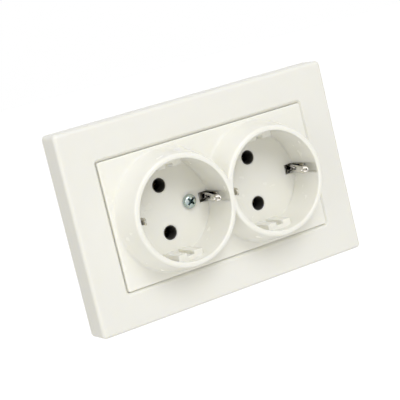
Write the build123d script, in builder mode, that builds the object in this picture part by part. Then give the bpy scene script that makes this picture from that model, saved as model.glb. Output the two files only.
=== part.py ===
from build123d import *
import os
from math import cos, radians, sin

# Double schuko wall socket with its cover frame, flush mounted in a 60 mm wall box.
# Millimetres. X is right, Z is up and the front faces -Y. The wall is the plane Y = 0,
# and the origin is midway between the two fixing slots of the support plate.
# A depth is measured out of the wall: a depth of 5 is Y = -5, and what lies inside the
# wall box has a negative depth.

os.makedirs("parts", exist_ok=True)

# Clearances
slip_gap = 0.15
running_gap = 0.06
loose_gap = 0.3

# Plug and socket standard
pin_pitch = 19.0
pin_radius = 2.4
pin_length = 19.0
well_radius = 19.645
well_depth = 17.97
well_pitch = 41.33
rim_depth = 23.5

# Support plate
plate_size = 71.0
plate_thickness = 1.0
plate_corner = 7.0
fixing_pitch = 60.0
fixing_slot_width = 4.2
fixing_slot_length = 7.0

# Cover frame
frame_width = 121.6
frame_plate_gap = 1.9
frame_depth = 10.9
frame_wall = 2.2
frame_height = plate_size + 2 * (frame_wall + frame_plate_gap)
frame_corner_radius = 1.8
frame_front_round = 1.5
frame_bevel = 0.9
ledge_width = 2.0
ledge_thickness = 1.2
frame_rib_thickness = 1.4
frame_rib_length = 60.0
frame_rib_height = 28.5
frame_post_offset = 50.0
frame_post_length = 40.0

# Front cover with both wells
cover_width = 92.66
cover_height = 50.46
cover_corner_radius = 0.8
cover_thickness = 1.8
cover_gap = 0.35
cover_proud = 0.3
cover_edge_round = 0.35
cover_rib_thickness = 1.4
cover_rib_depth = 2.4
collar_base_radius = 24.2
collar_lip_radius = 21.6
collar_base_fillet = 0.85
collar_lip_round = 1.0
collar_inner_round = 0.35
floor_thickness = 2.0
pin_hole_radius = 2.9
pin_guide_radius = 4.3
lug_width = 10.8
lug_inner = 16.7
lug_root = 0.5
lug_below_rim = 5.5
lug_groove_width = 3.0
lug_groove_depth = 1.3
slot_width = 3.9
slot_start = 15.7
slot_below_rim = 1.4
slot_recess_outer = 1.2
slot_recess_inner = 0.7
well_wall = 1.95

# Cover screw and its nut
cover_screw_offset = 11.06
cover_screw_radius = 1.5
cover_screw_length = 12.0
cover_screw_head_radius = 2.8
cover_screw_head_height = 1.9
cover_screw_head_round = 1.14
cover_cross_reach = 3.0
cover_cross_width = 0.8
cover_cross_depth = 1.3
cover_boss_radius = 2.5
cover_nut_width = 5.5
cover_nut_thickness = 2.4
cover_nut_depth = -2.2

# Base in the wall box
base_radius = 28.6
base_half_height = 25.2
base_length = 21.5
rear_cover_thickness = 2.0
window_radius = 26.6
window_half_height = 21.5
notch_start = 17.6
notch_half_height = 4.2
notch_wide_start = 24.7
notch_wide_half_height = 5.2

# Contact retainer and its pin tubes
retainer_thickness = 1.8
pin_tube_outer = 2.85
pin_tube_inner = 2.5
pin_tube_below_floor = 0.3
retainer_wing_reach = 41.0
retainer_wing_half_height = 5.6

# Live and neutral contacts
strip_thickness = 0.8
sleeve_wall = 0.68
sleeve_gap = 0.02
sleeve_start = 3.0
sleeve_slit = 0.9
sleeve_spare = 0.7
sleeve_room_width = 7.2
sleeve_room_spare = 0.4
bar_start = 4.0
bar_overlap = 0.25
tab_width = 6.0
tab_level = 16.5
tab_end = 20.5
riser_depth = 12.0
riser_room = 0.8
bend_room = 0.5

# Terminals
terminal_pitch = 10.5
clamp_width = 8.4
clamp_length = 6.0
clamp_wall = 1.0
clamp_floor = 1.2
clamp_roof = 1.8
clamp_open = 3.3
clamp_travel = 3.0
clamp_roof_gap = 0.4
clamp_bar_gap = 0.8
clamp_room_spare = 0.1
terminal_screw_radius = 1.75
terminal_head_radius = 3.0
terminal_head_height = 1.6
terminal_slot = 0.9
terminal_shelf = 0.8
wire_hole_radius = 1.6
wire_funnel_radius = 2.5
wire_funnel_depth = 0.8
tip_gap = 0.05

# Earth contacts
bracket_thickness = 0.6
bracket_width = 8.0
bracket_ring_radius = 5.6
arm_width = 3.0
arm_foot = 3.0
arm_root = 18.3
arm_root_bend = 0.7
arm_rise = 0.5
arm_rise_bend = 6.0
arm_apex = 15.0
arm_apex_bend = 2.2
arm_apex_height = 13.3
arm_tip = 17.0
arm_tip_height = 15.3
backstop_gap = 0.05
backstop_width = 3.5
backstop_height = 8.0
earth_wing_half_width = 7.6
earth_wing_half_height = 4.0
earth_rivet_inner = 5.6
earth_rivet_rise = 2.2
earth_rivet_outer = 31.5
rivet_radius = 1.0
rivet_head_radius = 1.7
rivet_head_height = 0.7

# Base screws
base_screw_x = 12.5
base_screw_z = 23.4
base_screw_radius = 1.1
base_screw_head_radius = 1.8
base_screw_head_height = 1.2
base_screw_length = 7.0
base_screw_spare = 0.2

# Claws with their screws and nuts
claw_screw_x = 24.5
claw_screw_radius = 1.75
claw_screw_head_radius = 3.2
claw_screw_head_height = 2.2
claw_screw_length = 21.0
claw_screw_slot = 1.0
claw_nut_rest = 15.0
claw_nut_length = 4.0
claw_nut_travel = 7.0
claw_nut_inner = 21.2
claw_nut_outer = 27.3
claw_nut_half_height = 3.4
claw_swing = 22.0
claw_pivot_x = 27.2
claw_pivot_y = 2.2
claw_half_height = 3.5
claw_cheek = 1.1
claw_web_inner = 27.7
claw_web_thickness = 1.2
claw_web_start = 5.5
claw_end = 17.5
claw_eye_radius = 1.7
claw_trunnion_radius = 1.0
claw_tooth = 0.7
claw_tooth_count = 3
claw_tooth_pitch = 2.0
claw_tooth_root = 0.2
claw_cam_gap = 0.12
cam_steps = 6
lug_plate_inner = 3.9
lug_plate_thickness = 0.8
lug_plate_half_width = 1.8

# Levels that follow from the sizes
cover_front = frame_depth + cover_proud
cover_back = cover_front - cover_thickness
well_x = well_pitch / 2
pin_z = pin_pitch / 2
floor_front = rim_depth - well_depth
floor_back = floor_front - floor_thickness
bracket_front = retainer_thickness + bracket_thickness
cover_screw_x = -well_x + cover_screw_offset
bore_opening_width = cover_width + 2 * cover_gap
bore_opening_height = cover_height + 2 * cover_gap
ledge_opening_width = bore_opening_width - 2 * ledge_width
ledge_opening_height = bore_opening_height - 2 * ledge_width
sleeve_inner = pin_radius + sleeve_gap
sleeve_outer = sleeve_inner + sleeve_wall
sleeve_end = pin_length - floor_front + sleeve_spare
bar_outer = pin_z - sleeve_outer + bar_overlap
bar_inner = bar_outer - strip_thickness
bar_end = riser_depth + strip_thickness
clamp_floor_level = tab_level - clamp_open
clamp_roof_level = tab_level + strip_thickness + clamp_roof_gap
clamp_top = clamp_roof_level + clamp_roof
room_ceiling = clamp_top + clamp_travel + clamp_room_spare
head_seat = room_ceiling + terminal_shelf
clamp_y = bar_end + clamp_bar_gap + clamp_length / 2
terminal_rows = [(-terminal_pitch, "left"), (terminal_pitch, "right")]


def level(depth):
    """The plane parallel to the wall at a depth, facing the room."""
    return Plane.XZ.offset(depth)


def finish(piece, name):
    """Label a finished piece and write its STEP file."""
    piece.part.label = name
    export_step(piece.part, f"parts/{name}.step")


def base_plan(radius, half_height, shrink=0.0):
    """Outline of the base: a disc cut flat above and below, notched for the claws."""
    Circle(radius - shrink)
    Rectangle(2 * radius, 2 * (half_height - shrink), mode=Mode.INTERSECT)
    for start, half_gap in ((notch_start, notch_half_height), (notch_wide_start, notch_wide_half_height)):
        with GridLocations(2 * (start - shrink) + radius, 1, 2, 1):
            Rectangle(radius, 2 * (half_gap + shrink), mode=Mode.SUBTRACT)


# The square frame round the cover
with BuildPart() as outer_frame:
    with BuildSketch(level(0)):
        RectangleRounded(frame_width, frame_height, frame_corner_radius)
    extrude(amount=frame_depth)
    fillet(outer_frame.faces().sort_by(Axis.Y)[0].edges(), frame_front_round)
    with BuildSketch(level(0)):
        Rectangle(frame_width - 2 * frame_wall, frame_height - 2 * frame_wall)
    extrude(amount=frame_depth - frame_wall, mode=Mode.SUBTRACT)
    with BuildSketch(level(cover_back - ledge_thickness)):
        Rectangle(bore_opening_width + 2 * frame_wall, bore_opening_height + 2 * frame_wall)
    extrude(amount=ledge_thickness)
    with BuildSketch(level(0)):
        Rectangle(ledge_opening_width, ledge_opening_height)
    extrude(amount=frame_depth, mode=Mode.SUBTRACT)
    with BuildSketch(level(cover_back)):
        RectangleRounded(bore_opening_width, bore_opening_height, cover_corner_radius)
    extrude(amount=frame_depth, mode=Mode.SUBTRACT)
    opening_rim = outer_frame.edges().filter_by_position(Axis.Y, -frame_depth - 0.01, -frame_depth + 0.01)
    inner_rim = opening_rim.filter_by(
        lambda edge: abs(edge.center().X) < bore_opening_width / 2 + 0.1
        and abs(edge.center().Z) < bore_opening_height / 2 + 0.1
    )
    chamfer(inner_rim, frame_bevel)
    with BuildSketch(level(plate_thickness)):
        with GridLocations(1, 2 * frame_rib_height, 1, 2):
            Rectangle(frame_rib_length, frame_rib_thickness)
    extrude(amount=frame_depth - frame_wall - plate_thickness)
    with BuildSketch(level(0)):
        with GridLocations(2 * frame_post_offset, 1, 2, 1):
            Rectangle(frame_rib_thickness, frame_post_length)
    extrude(amount=frame_depth - frame_wall)
finish(outer_frame, "outer_frame")

# The front cover: plate, collars, wells, lugs, slots and screw boss in one moulding
with BuildPart() as front_cover:
    with BuildSketch(level(cover_back)):
        RectangleRounded(cover_width, cover_height, cover_corner_radius)
    extrude(amount=cover_thickness)
    fillet(front_cover.faces().sort_by(Axis.Y)[0].edges(), cover_edge_round)
    with BuildSketch(level(cover_back - cover_rib_depth)):
        Rectangle(ledge_opening_width - 2 * slip_gap, ledge_opening_height - 2 * slip_gap)
        Rectangle(
            ledge_opening_width - 2 * slip_gap - 2 * cover_rib_thickness,
            ledge_opening_height - 2 * slip_gap - 2 * cover_rib_thickness,
            mode=Mode.SUBTRACT,
        )
        Rectangle(cover_rib_thickness, ledge_opening_height - 2 * slip_gap)
    extrude(amount=cover_rib_depth)
    for centre_x in (-well_x, well_x):
        with BuildSketch(level(floor_back)):
            with Locations((centre_x, 0)):
                Circle(well_radius + well_wall)
        extrude(amount=cover_front - floor_back)
        with BuildSketch(Plane.XY) as collar:
            with BuildLine():
                FilletPolyline(
                    (centre_x + collar_base_radius + collar_base_fillet, -cover_front),
                    (centre_x + collar_base_radius, -cover_front),
                    (centre_x + collar_lip_radius, -rim_depth),
                    (centre_x + well_radius - 1, -rim_depth),
                    radius=[collar_base_fillet, collar_lip_round],
                )
                Polyline(
                    (centre_x + well_radius - 1, -rim_depth),
                    (centre_x + well_radius - 1, -cover_back),
                    (centre_x + collar_base_radius + collar_base_fillet, -cover_back),
                    (centre_x + collar_base_radius + collar_base_fillet, -cover_front),
                )
            make_face()
        revolve(axis=Axis((centre_x, 0, 0), (0, 1, 0)))
    for centre_x in (-well_x, well_x):
        with BuildSketch(level(floor_front)):
            with Locations((centre_x, 0)):
                Circle(well_radius)
        extrude(amount=rim_depth, mode=Mode.SUBTRACT)
    inner_rims = front_cover.edges().filter_by(GeomType.CIRCLE).filter_by(
        lambda edge: abs(edge.radius - well_radius) < 0.01 and abs(edge.center().Y + rim_depth) < 0.01
    )
    fillet(inner_rims, collar_inner_round)
    for centre_x in (-well_x, well_x):
        with BuildSketch(level(floor_front - lug_root)):
            with Locations((centre_x, 0)):
                Circle(well_radius + lug_root)
                Rectangle(lug_width, 3 * well_radius, mode=Mode.INTERSECT)
                Rectangle(lug_width, 2 * lug_inner, mode=Mode.SUBTRACT)
                Rectangle(lug_groove_width, 2 * (lug_inner + lug_groove_depth), mode=Mode.SUBTRACT)
        extrude(amount=well_depth - lug_below_rim + lug_root)
        for side in (-1, 1):
            facing_out = side * centre_x > 0
            recess = slot_recess_outer if facing_out else slot_recess_inner
            reach = well_radius + recess
            with BuildSketch(level(bracket_front)):
                with Locations((centre_x + side * (slot_start + reach) / 2, 0)):
                    Rectangle(reach - slot_start, slot_width)
            extrude(amount=rim_depth - slot_below_rim - bracket_front, mode=Mode.SUBTRACT)
    with BuildSketch(level(retainer_thickness)):
        with GridLocations(well_pitch, pin_pitch, 2, 2):
            Circle(pin_guide_radius)
    extrude(amount=floor_back - retainer_thickness)
    with BuildSketch(level(bracket_front)):
        with Locations((cover_screw_x, 0)):
            Circle(cover_boss_radius)
    extrude(amount=floor_back - bracket_front)
    with BuildSketch(level(0)):
        with GridLocations(well_pitch, pin_pitch, 2, 2):
            Circle(pin_hole_radius)
        with Locations((cover_screw_x, 0)):
            Circle(cover_screw_radius + slip_gap)
    extrude(amount=floor_front, mode=Mode.SUBTRACT)
finish(front_cover, "front_cover")

# The steel plate that is screwed to the wall box, with two eyes bent back for each claw
with BuildPart() as support_plate:
    with BuildSketch(level(0)):
        Rectangle(plate_size, plate_size)
        chamfer(vertices(), plate_corner)
        with BuildSketch(mode=Mode.SUBTRACT):
            base_plan(window_radius, window_half_height)
        with GridLocations(1, fixing_pitch, 1, 2):
            SlotOverall(fixing_slot_length, fixing_slot_width, rotation=90, mode=Mode.SUBTRACT)
        with GridLocations(2 * claw_screw_x, 1, 2, 1):
            Circle(claw_screw_radius + running_gap, mode=Mode.SUBTRACT)
        with GridLocations(2 * base_screw_x, 2 * base_screw_z, 2, 2):
            Circle(base_screw_radius + running_gap, mode=Mode.SUBTRACT)
        with GridLocations(2 * earth_rivet_outer, 1, 2, 1):
            Circle(rivet_radius, mode=Mode.SUBTRACT)
    extrude(amount=plate_thickness)
    for side in (-1, 1):
        for half in (-1, 1):
            low = half * lug_plate_inner
            with BuildSketch(Plane.XY.offset(low)):
                with Locations((side * claw_pivot_x, claw_pivot_y)):
                    Circle(lug_plate_half_width)
                with Locations((side * claw_pivot_x, claw_pivot_y / 2 - plate_thickness / 4)):
                    Rectangle(2 * lug_plate_half_width, claw_pivot_y + plate_thickness / 2)
                with Locations((side * claw_pivot_x, claw_pivot_y)):
                    Circle(claw_trunnion_radius + running_gap, mode=Mode.SUBTRACT)
            extrude(amount=half * lug_plate_thickness)
finish(support_plate, "support_plate")

# The inner plate that closes the base over its contacts, with a tube to each pin hole
with BuildPart() as contact_retainer:
    with BuildSketch(level(0)):
        base_plan(window_radius, window_half_height, slip_gap)
    extrude(amount=retainer_thickness)
    with BuildSketch(level(plate_thickness)):
        Rectangle(2 * retainer_wing_reach, 2 * retainer_wing_half_height)
    extrude(amount=retainer_thickness - plate_thickness)
    with BuildSketch(level(plate_thickness)):
        Rectangle(tab_width + 2 * slip_gap, 2 * (tab_level + strip_thickness + slip_gap))
        Rectangle(2 * (earth_wing_half_width + slip_gap), 2 * (earth_wing_half_height + slip_gap))
    extrude(amount=retainer_thickness, mode=Mode.SUBTRACT)
    with BuildSketch(level(0)):
        with GridLocations(1, 2 * tab_level + strip_thickness - bend_room, 1, 2):
            Rectangle(tab_width + 2 * slip_gap, strip_thickness + bend_room + 2 * slip_gap)
        with GridLocations(2 * claw_screw_x, 1, 2, 1):
            Circle(claw_screw_head_radius + loose_gap)
        with GridLocations(2 * earth_rivet_outer, 1, 2, 1):
            Circle(rivet_radius)
        with Locations((cover_screw_x, 0)):
            Circle(cover_screw_radius + slip_gap)
    extrude(amount=retainer_thickness, mode=Mode.SUBTRACT)
    with BuildSketch(level(0)):
        with GridLocations(well_pitch, pin_pitch, 2, 2):
            Circle(pin_tube_outer)
    extrude(amount=floor_front - pin_tube_below_floor)
    with BuildSketch(level(0)):
        with GridLocations(well_pitch, pin_pitch, 2, 2):
            Circle(pin_tube_inner)
    extrude(amount=floor_front, mode=Mode.SUBTRACT)
finish(contact_retainer, "contact_retainer")

# The moulded base: contact rooms open to the front, terminal rooms open to the back
with BuildPart() as base_housing:
    with BuildSketch(level(0)):
        base_plan(base_radius, base_half_height)
    extrude(amount=-base_length)
    with BuildSketch(level(0)):
        with GridLocations(well_pitch, pin_pitch, 2, 2):
            Rectangle(sleeve_room_width, sleeve_room_width)
    extrude(amount=-(sleeve_end + sleeve_room_spare), mode=Mode.SUBTRACT)
    for half in (-1, 1):
        with BuildSketch(level(0)):
            with Locations((0, half * (bar_inner + bar_outer) / 2)):
                Rectangle(well_pitch, strip_thickness + 2 * slip_gap)
        extrude(amount=-(bar_end + slip_gap), mode=Mode.SUBTRACT)
        with BuildSketch(level(0)):
            with Locations((0, half * (bar_outer + tab_level + strip_thickness) / 2)):
                with GridLocations(2 * terminal_pitch, 1, 2, 1):
                    Rectangle(tab_width + 2 * slip_gap, tab_level + strip_thickness - bar_outer + 2 * slip_gap)
            with Locations((0, half * (tab_level + strip_thickness / 2))):
                Rectangle(tab_width + 2 * slip_gap, strip_thickness + 2 * slip_gap)
        extrude(amount=-(bar_end + riser_room), mode=Mode.SUBTRACT)
        for room_x in (-terminal_pitch, 0, terminal_pitch):
            room_low = clamp_floor_level - clamp_floor - loose_gap
            with BuildSketch(Plane.XZ.offset(-(clamp_y - clamp_length / 2 - loose_gap))):
                with Locations((room_x, half * (room_low + room_ceiling) / 2)):
                    Rectangle(clamp_width + 2 * loose_gap, room_ceiling - room_low)
            extrude(amount=-base_length, mode=Mode.SUBTRACT)
            with BuildSketch(Plane.XY.offset(half * clamp_top)):
                with Locations((room_x, clamp_y)):
                    Circle(terminal_screw_radius + slip_gap)
            extrude(amount=half * base_radius, mode=Mode.SUBTRACT)
            with BuildSketch(Plane.XY.offset(half * head_seat)):
                with Locations((room_x, clamp_y)):
                    Circle(terminal_head_radius + loose_gap)
            extrude(amount=half * base_radius, mode=Mode.SUBTRACT)
    with BuildSketch(level(0)):
        with Locations((cover_screw_x, 0)):
            Rectangle(cover_nut_width + 2 * slip_gap, cover_nut_width + 2 * slip_gap)
    extrude(amount=cover_nut_depth - cover_nut_thickness, mode=Mode.SUBTRACT)
    with BuildSketch(level(0)):
        with Locations((cover_screw_x, 0)):
            Circle(cover_screw_radius + loose_gap)
    extrude(amount=-(cover_screw_length - floor_front + 2 * loose_gap), mode=Mode.SUBTRACT)
    with BuildSketch(level(0)):
        with GridLocations(2 * base_screw_x, 2 * base_screw_z, 2, 2):
            Circle(base_screw_radius)
    extrude(amount=-base_screw_length, mode=Mode.SUBTRACT)
finish(base_housing, "base_housing")

# The cover on the base's back, with a funnel to each terminal
with BuildPart() as rear_cover:
    with BuildSketch(level(-base_length)):
        base_plan(base_radius, base_half_height)
    extrude(amount=-rear_cover_thickness)
    wire_z = tab_level - clamp_open / 2
    back_y = base_length + rear_cover_thickness
    for half in (-1, 1):
        for hole_x in (-terminal_pitch, 0, terminal_pitch):
            with BuildSketch(level(-base_length)):
                with Locations((hole_x, half * wire_z)):
                    Circle(wire_hole_radius)
            extrude(amount=-rear_cover_thickness, mode=Mode.SUBTRACT)
            with Locations(Location((hole_x, back_y - wire_funnel_depth / 2, half * wire_z), (-90, 0, 0))):
                Cone(wire_hole_radius, wire_funnel_radius, wire_funnel_depth, mode=Mode.SUBTRACT)
finish(rear_cover, "rear_cover")

# One stamped brass strip for each pole: two rolled sleeves, a bar and two terminal tabs
for half, name in ((1, "live_contact"), (-1, "neutral_contact")):
    with BuildPart() as pole:
        with BuildSketch(Plane.XZ.offset(-bar_start)):
            with Locations((0, half * (bar_inner + bar_outer) / 2)):
                Rectangle(well_pitch, strip_thickness)
        extrude(amount=-(bar_end - bar_start))
        with BuildSketch(Plane.XZ.offset(-sleeve_start)):
            with Locations((-well_x, half * pin_z), (well_x, half * pin_z)):
                Circle(sleeve_outer)
        extrude(amount=-(sleeve_end - sleeve_start))
        with BuildSketch(Plane.XZ.offset(-sleeve_start)):
            with Locations((-well_x, half * pin_z), (well_x, half * pin_z)):
                Circle(sleeve_inner)
            with Locations((-well_x, half * (pin_z + sleeve_outer)), (well_x, half * (pin_z + sleeve_outer))):
                Rectangle(sleeve_slit, 2 * sleeve_outer)
        extrude(amount=-(sleeve_end - sleeve_start), mode=Mode.SUBTRACT)
        with BuildSketch(Plane.YZ) as riser:
            with BuildLine():
                bend = FilletPolyline(
                    (riser_depth + strip_thickness / 2, half * (bar_outer - strip_thickness / 2)),
                    (riser_depth + strip_thickness / 2, half * (tab_level + strip_thickness / 2)),
                    (tab_end, half * (tab_level + strip_thickness / 2)),
                    radius=strip_thickness,
                )
            trace(bend, strip_thickness)
        for tab_x in (-terminal_pitch, terminal_pitch):
            extrude(riser.sketch.moved(Location((tab_x - tab_width / 2, 0, 0))), amount=tab_width)
    finish(pole, name)

# The earth bar: a strip across the front of the retainer with a leg to each earth terminal
with BuildPart() as earth_bar:
    leg_centre = tab_level + strip_thickness / 2
    with BuildSketch(Plane.YZ.offset(-tab_width / 2)):
        with BuildLine():
            hoop = FilletPolyline(
                (tab_end, -leg_centre),
                (-retainer_thickness + strip_thickness / 2, -leg_centre),
                (-retainer_thickness + strip_thickness / 2, leg_centre),
                (tab_end, leg_centre),
                radius=strip_thickness,
            )
        trace(hoop, strip_thickness)
    extrude(amount=tab_width)
    with BuildSketch(level(retainer_thickness - strip_thickness)):
        Rectangle(2 * earth_wing_half_width, 2 * earth_wing_half_height)
        with Locations((-earth_rivet_inner, earth_rivet_rise), (earth_rivet_inner, earth_rivet_rise)):
            Circle(rivet_radius, mode=Mode.SUBTRACT)
    extrude(amount=strip_thickness)
finish(earth_bar, "earth_bar")

# An earth bracket for each well: a strap with a spring arm and a backstop at each end
for side, name in ((-1, "earth_bracket_left"), (1, "earth_bracket_right")):
    centre_x = side * well_x
    strap_middle = retainer_thickness + bracket_thickness / 2
    backstop = well_radius + backstop_gap + bracket_thickness / 2
    tip_depth = floor_front + arm_tip_height
    with BuildPart() as bracket:
        for arm in (-1, 1):
            with BuildSketch(Plane.XY.offset(-arm_width / 2)):
                with BuildLine():
                    spring = FilletPolyline(
                        (centre_x + arm * (arm_root - arm_foot), -strap_middle),
                        (centre_x + arm * arm_root, -strap_middle),
                        (centre_x + arm * arm_root, -(floor_front + arm_rise)),
                        (centre_x + arm * arm_apex, -(floor_front + arm_apex_height)),
                        (centre_x + arm * arm_tip, -tip_depth),
                        radius=[arm_root_bend, arm_rise_bend, arm_apex_bend],
                    )
                trace(spring, bracket_thickness)
            extrude(amount=arm_width)
        with BuildSketch(Plane.YZ.offset(centre_x - 2 * well_radius)):
            with Locations((0, 0)):
                SlotOverall(2 * tip_depth, arm_width)
        extrude(amount=4 * well_radius, mode=Mode.INTERSECT)
        for arm in (-1, 1):
            with BuildSketch(Plane.XY.offset(-backstop_width / 2)):
                with BuildLine():
                    upright = FilletPolyline(
                        (centre_x + arm * (backstop - arm_foot), -strap_middle),
                        (centre_x + arm * backstop, -strap_middle),
                        (centre_x + arm * backstop, -(floor_front + backstop_height)),
                        radius=arm_root_bend,
                    )
                trace(upright, bracket_thickness)
            extrude(amount=backstop_width)
        with BuildSketch(level(retainer_thickness)):
            with Locations((centre_x, 0)):
                Rectangle(2 * (backstop - arm_root_bend - bracket_thickness), bracket_width)
            with Locations((side * claw_screw_x, 0)):
                Circle(bracket_ring_radius)
        extrude(amount=bracket_thickness)
        with BuildSketch(level(retainer_thickness)):
            with Locations((side * claw_screw_x, 0)):
                Circle(claw_screw_head_radius + loose_gap)
            with Locations((side * earth_rivet_inner, earth_rivet_rise), (side * earth_rivet_outer, 0)):
                Circle(rivet_radius)
            if side < 0:
                with Locations((cover_screw_x, 0)):
                    Circle(cover_screw_radius + slip_gap)
        extrude(amount=bracket_thickness, mode=Mode.SUBTRACT)
    finish(bracket, name)

# Rivets through the brackets: two into the earth bar, two into the support plate
with BuildPart() as earth_rivets:
    for rivet_x, rivet_z, foot in (
        (-earth_rivet_inner, earth_rivet_rise, retainer_thickness - strip_thickness),
        (earth_rivet_inner, earth_rivet_rise, retainer_thickness - strip_thickness),
        (-earth_rivet_outer, 0, 0),
        (earth_rivet_outer, 0, 0),
    ):
        with BuildSketch(level(foot)):
            with Locations((rivet_x, rivet_z)):
                Circle(rivet_radius)
        extrude(amount=bracket_front - foot)
        with BuildSketch(level(bracket_front)):
            with Locations((rivet_x, rivet_z)):
                Circle(rivet_head_radius)
        extrude(amount=rivet_head_height)
finish(earth_rivets, "earth_rivets")

# Screws that hold the base to the support plate
with BuildPart() as base_screws:
    with BuildSketch(level(plate_thickness)):
        with GridLocations(2 * base_screw_x, 2 * base_screw_z, 2, 2):
            Circle(base_screw_head_radius)
    extrude(amount=base_screw_head_height)
    with BuildSketch(level(plate_thickness)):
        with GridLocations(2 * base_screw_x, 2 * base_screw_z, 2, 2):
            Circle(base_screw_radius)
    extrude(amount=-(base_screw_length - base_screw_spare))
finish(base_screws, "base_screws")

# The screw in the left well that holds the cover, and the nut it turns in
with BuildPart() as cover_screw:
    with BuildSketch(level(floor_front)):
        with Locations((cover_screw_x, 0)):
            Circle(cover_screw_head_radius)
    extrude(amount=cover_screw_head_height)
    fillet(cover_screw.faces().sort_by(Axis.Y)[0].edges(), cover_screw_head_round)
    with BuildSketch(level(floor_front)):
        with Locations((cover_screw_x, 0)):
            Circle(cover_screw_radius)
    extrude(amount=-cover_screw_length)
    with BuildSketch(level(floor_front + cover_screw_head_height)):
        with Locations((cover_screw_x, 0)):
            Rectangle(cover_cross_reach, cover_cross_width)
            Rectangle(cover_cross_width, cover_cross_reach)
    extrude(amount=-cover_cross_depth, taper=8, mode=Mode.SUBTRACT)
finish(cover_screw, "cover_screw")

with BuildPart() as cover_nut:
    with BuildSketch(level(cover_nut_depth - cover_nut_thickness)):
        with Locations((cover_screw_x, 0)):
            Rectangle(cover_nut_width, cover_nut_width)
            Circle(cover_screw_radius + running_gap, mode=Mode.SUBTRACT)
    extrude(amount=cover_nut_thickness)
finish(cover_nut, "cover_nut")

# A lifting clamp and its screw at each terminal
terminals = []
for half, row in ((1, "live"), (-1, "neutral")):
    for place_x, place in terminal_rows:
        terminals.append((half, place_x, f"{row}_{place}"))
terminals.append((1, 0, "earth_top"))
terminals.append((-1, 0, "earth_bottom"))

for half, place_x, name in terminals:
    with BuildPart() as clamp:
        with BuildSketch(Plane.XZ.offset(-(clamp_y - clamp_length / 2))):
            with Locations((place_x, half * (clamp_floor_level - clamp_floor + clamp_top) / 2)):
                Rectangle(clamp_width, clamp_top - clamp_floor_level + clamp_floor)
            with Locations((place_x, half * (clamp_floor_level + clamp_roof_level) / 2)):
                Rectangle(
                    clamp_width - 2 * clamp_wall,
                    clamp_roof_level - clamp_floor_level,
                    mode=Mode.SUBTRACT,
                )
        extrude(amount=-clamp_length)
        with BuildSketch(Plane.XY.offset(half * tab_level)):
            with Locations((place_x, clamp_y)):
                Circle(terminal_screw_radius + running_gap)
        extrude(amount=half * clamp_top, mode=Mode.SUBTRACT)
    finish(clamp, f"{name}_clamp")
    with BuildPart() as screw:
        tip = tab_level + strip_thickness + tip_gap
        with BuildSketch(Plane.XY.offset(half * tip)):
            with Locations((place_x, clamp_y)):
                Circle(terminal_screw_radius)
        extrude(amount=half * (head_seat - tip))
        with BuildSketch(Plane.XY.offset(half * head_seat)):
            with Locations((place_x, clamp_y)):
                Circle(terminal_head_radius)
        extrude(amount=half * terminal_head_height)
        with BuildSketch(Plane.XY.offset(half * (head_seat + terminal_head_height))):
            with Locations((place_x, clamp_y)):
                Rectangle(2 * terminal_head_radius, terminal_slot)
        extrude(amount=-half * terminal_slot, mode=Mode.SUBTRACT)
    finish(screw, f"{name}_screw")


def cam_point(share):
    """Where the claw's cheek meets the nut after a share of its travel, in the claw at rest."""
    angle = radians(claw_swing * share)
    across = claw_nut_outer + claw_cam_gap - claw_pivot_x
    along = claw_nut_rest - claw_nut_travel * share - claw_pivot_y
    return (
        claw_pivot_x + across * cos(angle) - along * sin(angle),
        claw_pivot_y + across * sin(angle) + along * cos(angle),
    )


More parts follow.
